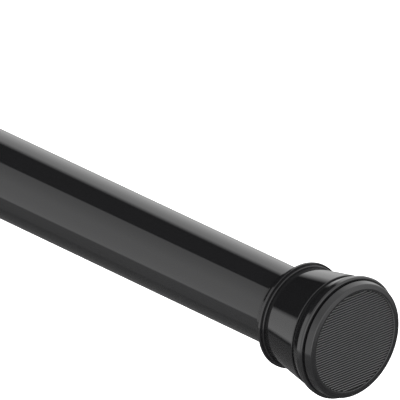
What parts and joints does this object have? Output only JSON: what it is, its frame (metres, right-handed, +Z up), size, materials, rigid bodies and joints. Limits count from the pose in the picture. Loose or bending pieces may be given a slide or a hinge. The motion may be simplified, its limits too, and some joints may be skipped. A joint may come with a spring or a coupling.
{
  "type": "spring tension rod",
  "caption": "Telescopic spring tension rod: gloss black tubes, a twist lock, a thrust spring, and a collared end cap with a ribbed pad at each end.",
  "frame": {"origin": "centre of the outer tube's pad, on the plane of the pad's rim that meets the wall", "axes": "+X out of that pad along the rod's axis, +Z up, with the pad's ribs level along Y"},
  "size_m": [0.61, 0.0394, 0.0394],
  "materials": {
    "tube_enamel": "gloss black baked enamel on steel tube",
    "cap_plastic": "gloss black moulded ABS",
    "pad_rubber": "satin black moulded rubber",
    "plug_nylon": "moulded nylon",
    "lock_acetal": "moulded acetal",
    "spindle_nylon": "glass filled nylon",
    "zinc_steel": "zinc plated steel",
    "spring_steel": "oiled music wire"
  },
  "bodies": {
    "outer": {"outer_tube": "tube_enamel", "outer_end_pad": "pad_rubber", "outer_end_collar": "cap_plastic", "outer_end_plug": "plug_nylon", "outer_end_screw": "zinc_steel", "tube_mouth_bush": "cap_plastic"},
    "glide": {"drag_ring": "lock_acetal"},
    "spindle": {"lock_spindle": "spindle_nylon", "spring_piston": "lock_acetal", "piston_nut": "zinc_steel", "cam_washer": "zinc_steel", "cam_screw": "zinc_steel"},
    "cam": {"lock_cam": "lock_acetal"},
    "inner": {"inner_tube": "tube_enamel", "inner_end_pad": "pad_rubber", "inner_end_collar": "cap_plastic", "inner_end_plug": "plug_nylon", "inner_end_screw": "zinc_steel", "spindle_guide_bush": "plug_nylon", "guide_bush_pins": "zinc_steel", "spring_stop": "plug_nylon", "spring_stop_pin": "zinc_steel", "compression_spring": "spring_steel"}
  },
  "joints": [
    {"name": "telescope", "type": "slide", "parent": "outer", "child": "glide", "axis": [-1, 0, 0], "range_m": [0, 0.304]},
    {"name": "twist_lock", "type": "hinge", "parent": "glide", "child": "spindle", "pos_m": [-0.10384, 0, 0], "axis": [1, 0, 0], "range_deg": [0, 60]},
    {"name": "cam_swing", "type": "hinge", "parent": "spindle", "child": "cam", "pos_m": [-0.08868, 0, 0.0006], "axis": [1, 0, 0], "range_deg": [-60, 0]},
    {"name": "spring_stroke", "type": "slide", "parent": "spindle", "child": "inner", "axis": [1, 0, 0], "range_m": [0, 0.035], "stiffness_N_per_m": 1830, "springref_m": -0.015, "deforming": ["compression_spring"]}
  ],
  "couplings": [
    {"joint": "cam_swing", "follows": "twist_lock", "ratio": -1}
  ]
}
